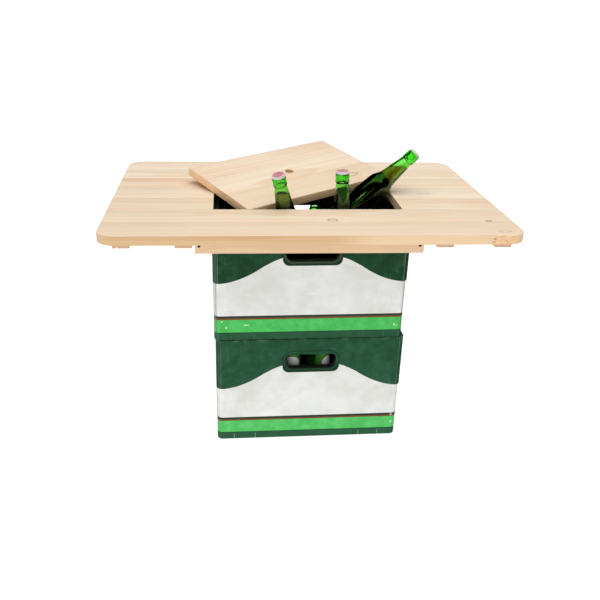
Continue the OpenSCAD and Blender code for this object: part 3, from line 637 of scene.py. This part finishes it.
div_mat = divider_material()
for node in ("upper_long_dividers", "upper_cross_dividers", "lower_long_dividers", "lower_cross_dividers"):
    ob = NODES[node]
    ob.data.materials.clear()
    ob.data.materials.append(div_mat)


# ------------------------------------------------------------------ bottles
def smooth_profile(points, step=2.5):
    """points: (r, z, corner) in mm; a smooth curve through them, broken at corners"""
    out = []
    n = len(points)
    for i in range(n - 1):
        p1, p2 = points[i], points[i + 1]
        p0 = points[i - 1] if i > 0 and not p1[2] else p1
        p3 = points[i + 2] if i + 2 < n and not p2[2] else p2
        a, b = Vector(p1[:2]), Vector(p2[:2])
        length = (b - a).length
        k = max(1, int(math.ceil(length / step)))
        t1 = (Vector(p2[:2]) - Vector(p0[:2]))
        t2 = (Vector(p3[:2]) - Vector(p1[:2]))
        t1 = t1.normalized() * length if t1.length > 1e-6 else b - a
        t2 = t2.normalized() * length if t2.length > 1e-6 else b - a
        for j in range(k):
            s = j / k
            h00, h10 = 2 * s ** 3 - 3 * s ** 2 + 1, s ** 3 - 2 * s ** 2 + s
            h01, h11 = -2 * s ** 3 + 3 * s ** 2, s ** 3 - s ** 2
            q = a * h00 + t1 * h10 + b * h01 + t2 * h11
            out.append((max(q.x, 0.0), q.y))
    out.append(points[-1][:2])
    return out


OUTER = [(0, 3.5, 0), (12, 3.0, 0), (20, 1.0, 0), (23.5, 0.05, 0), (27.2, 1.5, 0), (29.2, 4.5, 0), (29.95, 9, 0),
         (29.95, 40, 0), (29.95, 70, 0), (29.5, 85, 0), (28.9, 98, 0), (28.2, 110, 0), (27.2, 119, 0), (25.5, 124.6, 0),
         (23.0, 129.1, 0), (20.6, 134.2, 0), (19.2, 138.7, 0), (17.85, 150.5, 0), (15.1, 174.5, 0), (12.85, 193.9, 0),
         (12.95, 195.0, 0), (14.05, 196.3, 0), (13.95, 204, 0), (14.1, 211.6, 0), (13.7, 213.2, 0), (12.5, 213.8, 0),
         (12.3, 215.5, 0), (12.3, 217.8, 0), (11.8, 218.9, 0), (10.6, 219.2, 0)]
INNER = [(9.4, 218.9, 0), (8.8, 217.8, 0), (8.85, 200, 0), (9.95, 193, 0), (12.9, 168, 0), (16.3, 139, 0),
         (17.8, 133.2, 0), (20.2, 127.6, 0), (22.8, 122.5, 0), (24.6, 116.5, 0), (25.6, 108, 0), (26.3, 96, 0), (27.0, 75, 0),
         (27.0, 40, 0), (27.0, 13, 0), (25.0, 7.5, 0), (20, 5.8, 0), (10, 6.2, 0), (0, 6.5, 0)]


def revolve(bm, profile, segs, m=None, flip=False):
    """turns a profile (r, z) in mm about Z into quads; poles at r = 0 become fans"""
    rings = []
    for r, z in profile:
        if r < 1e-4:
            v = bm.verts.new((0, 0, z * MM))
            rings.append([v])
        else:
            rings.append([bm.verts.new((r * MM * math.cos(2 * math.pi * i / segs), r * MM * math.sin(2 * math.pi * i / segs), z * MM))
                          for i in range(segs)])
    faces = []
    for a, b in zip(rings, rings[1:]):
        for i in range(segs):
            j = (i + 1) % segs
            if len(a) == 1 and len(b) == 1:
                continue
            if len(a) == 1:
                vs = [a[0], b[j], b[i]]
            elif len(b) == 1:
                vs = [a[i], a[j], b[0]]
            else:
                vs = [a[i], a[j], b[j], b[i]]
            if flip:
                vs.reverse()
            faces.append(bm.faces.new(vs))
    if m is not None:
        bmesh.ops.transform(bm, matrix=m, verts=[v for r in rings for v in r])
    return rings, faces


def glass_mesh(bm, segs, step, m=None):
    prof = smooth_profile(OUTER, step) + smooth_profile(INNER, step)
    return revolve(bm, prof, segs, m)


def liquid_profile(step, top):
    prof = [(r + 0.04 if r > 1 else r, z - (0.04 if z < 12 else 0)) for r, z in smooth_profile(list(reversed(INNER)), step)]
    out = []
    for a, b in zip(prof, prof[1:]):
        out.append(a)
        if a[1] <= top <= b[1] and b[1] > a[1]:
            s = (top - a[1]) / (b[1] - a[1])
            out.append((a[0] + s * (b[0] - a[0]), top))
            break
    return out


def glass_material(name, dark=1.0, clear=1.0, tint=((236, 250, 236), (244, 252, 240))):
    mat, t, bsdf, out = material(name)
    p = t.coords()
    seeds = t.noise(t.v("SCALE", p, 55.0), 1.0, 2.0, 0.5)
    fine = t.noise(t.v("SCALE", p, 500.0), 1.0, 2.0, 0.5)
    t.put(bsdf.inputs["Base Color"], t.mixc(fine, lin(*tint[0]), lin(*tint[1])))
    bsdf.inputs["Transmission Weight"].default_value = clear
    bsdf.inputs["IOR"].default_value = 1.5
    t.put(bsdf.inputs["Roughness"], t.m("MULTIPLY", t.step(fine, 0.5, 0.9), 0.05))
    t.put(bsdf.inputs["Normal"], t.bump(seeds, 0.06, 0.002))
    vol = t.new("ShaderNodeVolumeAbsorption")
    vol.inputs["Color"].default_value = (0.30, 0.955, 0.02, 1.0)
    vol.inputs["Density"].default_value = 325.0 * dark
    t.t.links.new(vol.outputs[0], out.inputs["Volume"])
    return mat


def liquid_material(name, colour, density):
    mat, t, bsdf, out = material(name)
    p = t.coords()
    f = t.noise(t.v("SCALE", p, 80.0), 1.0, 2.0, 0.5)
    t.put(bsdf.inputs["Base Color"], t.mixc(f, lin(250, 240, 214), lin(255, 246, 224)))
    bsdf.inputs["Transmission Weight"].default_value = 1.0
    bsdf.inputs["IOR"].default_value = 1.34
    bsdf.inputs["Roughness"].default_value = 0.0
    vol = t.new("ShaderNodeVolumeAbsorption")
    vol.inputs["Color"].default_value = (*colour, 1.0)
    vol.inputs["Density"].default_value = density
    t.t.links.new(vol.outputs[0], out.inputs["Volume"])
    return mat


def cap_material():
    """painted crown cap; tone 0 in the middle of the top, 1 on the rim, from a vertex attribute"""
    mat, t, bsdf, out = material("crown_cap")
    a = t.new("ShaderNodeAttribute")
    a.attribute_name = "tone"
    tone = a.outputs["Fac"]
    p = t.coords()
    n = t.noise(t.v("SCALE", p, 700.0), 1.0, 3.0, 0.6)
    c2 = t.noise(t.v("SCALE", p, 260.0), 1.0, 2.0, 0.6)
    top = t.mixc(t.step(c2, 0.38, 0.62), lin(206, 112, 124), lin(236, 178, 180))
    top = t.mixc(t.m("MULTIPLY", t.step(n, 0.55, 0.8), 0.4), top, lin(244, 224, 224))
    rim = t.mixc(t.step(n, 0.4, 0.8), lin(240, 238, 238), lin(208, 200, 200))
    col = t.mixc(t.step(tone, 0.76, 0.85), top, rim)
    t.put(bsdf.inputs["Base Color"], col)
    bsdf.inputs["Metallic"].default_value = 0.15
    t.put(bsdf.inputs["Roughness"], t.m("ADD", 0.26, t.m("MULTIPLY", n, 0.2)))
    t.put(bsdf.inputs["Normal"], t.bump(n, 0.15, 0.0001))
    return mat


def cap_mesh(bm, m=None, teeth=21, per=6):
    """crown cap with crimped teeth, closed, 0.25 mm thick sheet; returns with a tone layer filled"""
    layer = bm.verts.layers.float.get("tone") or bm.verts.layers.float.new("tone")
    segs = teeth * per
    outer = [(0, 220.0, 0), (5.0, 219.98, 0), (9.0, 219.85, 0), (10.8, 219.6, 0), (11.8, 219.1, 0), (12.5, 218.2, 0.05),
             (12.9, 217.2, 0.25), (13.2, 216.2, 0.6), (13.5, 215.3, 0.9), (13.75, 214.25, 1.0)]
    inner = [(13.45, 214.25, 1.0), (13.15, 215.4, 0.9), (12.85, 216.6, 0.5), (12.6, 217.6, 0.1), (12.2, 218.5, 0.0),
             (11.2, 219.15, 0), (0, 219.45, 0)]
    rings = []
    for r, z, a in outer + inner:
        if r < 1e-6:
            v = bm.verts.new((0, 0, z * MM))
            v[layer] = 0.0
            rings.append([v])
            continue
        ring = []
        for i in range(segs):
            th = 2 * math.pi * i / segs
            rr = r + a * 0.52 * math.cos(teeth * th)
            v = bm.verts.new((rr * MM * math.cos(th), rr * MM * math.sin(th), z * MM))
            v[layer] = r / 14.0 if z > 218.0 else 1.0
            ring.append(v)
        rings.append(ring)
    for a, b in zip(rings, rings[1:]):
        for i in range(segs):
            j = (i + 1) % segs
            if len(a) == 1:
                bm.faces.new([a[0], b[i], b[j]])
            elif len(b) == 1:
                bm.faces.new([a[j], a[i], b[0]])
            else:
                bm.faces.new([a[j], a[i], b[i], b[j]])
    if m is not None:
        bmesh.ops.transform(bm, matrix=m, verts=[v for r in rings for v in r])


glass_mat = glass_material("bottle_glass")
# painted light: the lower crate's bottles get a less clear glass with a bright green colour, so their necks show lit in
# the dark slots
lit_paint_glass = glass_material("bottle_glass_painted_light", 1.0, 0.45, ((92, 176, 70), (112, 196, 88)))
drink_mat = liquid_material("drink", (0.82, 0.42, 0.01), 95.0)
drink_dark = liquid_material("drink_dark", (0.62, 0.42, 0.01), 150.0)
cap_mat = cap_material()

for tag in "abcd":
    m = POSE[tag]
    body = "bottle_" + tag
    bm = bmesh.new()
    glass_mesh(bm, 96, 2.2)
    bmesh.ops.recalc_face_normals(bm, faces=bm.faces)
    place(obj_from_bm(body + "_glass_piece", bm, glass_mat, m, 60, True), body, [body + "_glass"])
    if tag == "d":
        continue
    bm = bmesh.new()
    prof = liquid_profile(2.2, 214.0)
    rings, _ = revolve(bm, prof, 96)
    bm.faces.new(rings[-1])
    bmesh.ops.recalc_face_normals(bm, faces=bm.faces)
    inv = m.inverted()
    nrm = (inv.to_3x3() @ Vector((0, 0, 1))).normalized()
    pt = inv @ Vector((0, 0, LEVEL[tag] * MM))
    geom = bm.verts[:] + bm.edges[:] + bm.faces[:]
    cut = bmesh.ops.bisect_plane(bm, geom=geom, dist=1e-7, plane_co=pt, plane_no=nrm, clear_outer=True)
    loop = [e for e in cut["geom_cut"] if isinstance(e, bmesh.types.BMEdge)]
    bmesh.ops.holes_fill(bm, edges=loop, sides=0)
    bmesh.ops.recalc_face_normals(bm, faces=bm.faces)
    place(obj_from_bm(body + "_beer_piece", bm, drink_dark if tag == "b" else drink_mat, m, 40, True), body, [body + "_beer"])
    bm = bmesh.new()
    cap_mesh(bm)
    bmesh.ops.recalc_face_normals(bm, faces=bm.faces)
    place(obj_from_bm(body + "_cap_piece", bm, cap_mat, m, 50, True), body, [body + "_cap"])

# bottles in the lower crate
cells = [Matrix.Translation(Vector((i * 64.0, j * 71.0, 15.0)) * MM)
         for j in (-1.5, -0.5, 0.5, 1.5) for i in (-2.5, -1.5, -0.5, 0.5, 1.5, 2.5)]
bm = bmesh.new()
for c in cells:
    glass_mesh(bm, 40, 6.0, c)
bmesh.ops.recalc_face_normals(bm, faces=bm.faces)
place(obj_from_bm("lower_bottles_glass_piece", bm, lit_paint_glass, LOWER, 60), "lower_crate", ["lower_bottles_glass"])
bm = bmesh.new()
for c in cells:
    rings, _ = revolve(bm, liquid_profile(6.0, 182.0), 40, c)
    bm.faces.new(rings[-1])
bmesh.ops.recalc_face_normals(bm, faces=bm.faces)
place(obj_from_bm("lower_bottles_beer_piece", bm, drink_mat, LOWER, 40), "lower_crate", ["lower_bottles_beer"])
bm = bmesh.new()
for c in cells:
    cap_mesh(bm, c, 21, 4)
bmesh.ops.recalc_face_normals(bm, faces=bm.faces)
place(obj_from_bm("lower_bottle_caps_piece", bm, cap_mat, LOWER, 50), "lower_crate", ["lower_bottle_caps"])


# plain oval neck labels on the bottles in the lower crate
def label_material():
    mat, t, bsdf, out = material("neck_label_paper")
    p = t.coords()
    n = t.noise(t.v("SCALE", p, 600.0), 1.0, 3.0, 0.6)
    t.put(bsdf.inputs["Base Color"], t.mixc(n, lin(244, 240, 244), lin(253, 251, 253)))
    bsdf.inputs["Roughness"].default_value = 0.55
    bsdf.inputs["Specular IOR Level"].default_value = 0.3
    t.put(bsdf.inputs["Normal"], t.bump(n, 0.1, 0.0001))
    return mat


def neck_radius(z):
    for (r0, z0, _), (r1, z1, _) in zip(OUTER, OUTER[1:]):
        if z0 <= z <= z1 and z1 > z0:
            return r0 + (r1 - r0) * (z - z0) / (z1 - z0)
    return 15.0


bm = bmesh.new()
for k, cell in enumerate(cells):
    facing = math.radians({2: 258.0, 3: 318.0}.get(k, 250.0 + 47.0 * k))
    skins = []
    for lift in (0.06, 0.22):
        rows = [[bm.verts.new((0, 0, 0))]]
        for ring in range(1, 7):
            rows.append([bm.verts.new((0, 0, 0)) for _ in range(36)])
        for ring, row in enumerate(rows):
            for i, v in enumerate(row):
                th = 2 * math.pi * i / 36
                z = 159.5 + 14.0 * ring / 6 * math.sin(th)
                ang = facing + math.radians(56.0) * ring / 6 * math.cos(th)
                r = neck_radius(z) + lift
                v.co = cell @ Vector((r * math.cos(ang) * MM, r * math.sin(ang) * MM, z * MM))
        skins.append(rows)
    for flip, rows in enumerate(skins):
        for i in range(36):
            j = (i + 1) % 36
            vs = [rows[0][0], rows[1][i], rows[1][j]]
            bm.faces.new(vs if flip else vs[::-1])
            for a, b in zip(rows[1:], rows[2:]):
                vs = [a[i], b[i], b[j], a[j]]
                bm.faces.new(vs if flip else vs[::-1])
    for i in range(36):
        j = (i + 1) % 36
        bm.faces.new([skins[0][6][i], skins[0][6][j], skins[1][6][j], skins[1][6][i]])
bmesh.ops.recalc_face_normals(bm, faces=bm.faces)
place(obj_from_bm("lower_bottle_labels_piece", bm, label_material(), LOWER, 50), "lower_crate")


# ------------------------------------------------------------------ floor and light
def floor_material():
    mat, t, bsdf, out = material("studio_floor")
    p = t.coords()
    n = t.noise(t.v("SCALE", p, 2.0), 1.0, 2.0, 0.5)
    t.put(bsdf.inputs["Base Color"], t.mixc(n, (0.24, 0.24, 0.24, 1), (0.26, 0.26, 0.26, 1)))
    bsdf.inputs["Roughness"].default_value = 0.9
    bsdf.inputs["Specular IOR Level"].default_value = 0.0
    bsdf.inputs["Emission Color"].default_value = (1, 1, 1, 1)
    bsdf.inputs["Emission Strength"].default_value = 0.98
    return mat


bm = bmesh.new()
bmesh.ops.create_grid(bm, x_segments=2, y_segments=2, size=60.0)
floor = obj_from_bm("floor", bm, floor_material())
floor.location = (0, 0, -0.0004)
floor.visible_glossy = False

world = bpy.data.worlds.new("studio")
scene.world = world
world.use_nodes = True
bg = world.node_tree.nodes.get("Background")
bg.inputs["Color"].default_value = (1.0, 1.0, 1.0, 1.0)
bg.inputs["Strength"].default_value = 0.36
world.cycles_visibility.glossy = False
world.cycles_visibility.transmission = False


def area(name, loc, target, size, power, size_y=None):
    d = bpy.data.lights.new(name, "AREA")
    d.energy = power
    d.shape = "RECTANGLE"
    d.size = size
    d.size_y = size_y or size
    o = bpy.data.objects.new(name, d)
    scene.collection.objects.link(o)
    o.location = loc
    o.rotation_euler = (Vector(target) - Vector(loc)).to_track_quat("-Z", "Y").to_euler()
    return o


for lamp in (area("key_top", (0.35, 0.25, 3.2), (0.05, 0, 0.5), 3.4, 71),
             area("fill_front", (-0.8, -2.9, 1.3), (0, 0, 0.3), 2.0, 8.6),
             area("fill_left", (-2.6, -1.2, 0.9), (0, 0, 0.45), 1.0, 7.5)):
    lamp.visible_glossy = False
area("flash_left", (-0.9, -1.9, 2.4), (0, 0, 0.5), 0.35, 2.2, 0.5)
area("flash_right", (0.9, -1.6, 2.6), (0, 0, 0.5), 0.35, 2.2, 0.5)

scene.view_settings.view_transform = "Standard"
scene.view_settings.look = "None"
scene.view_settings.exposure = 0.0
scene.view_settings.gamma = 1.0
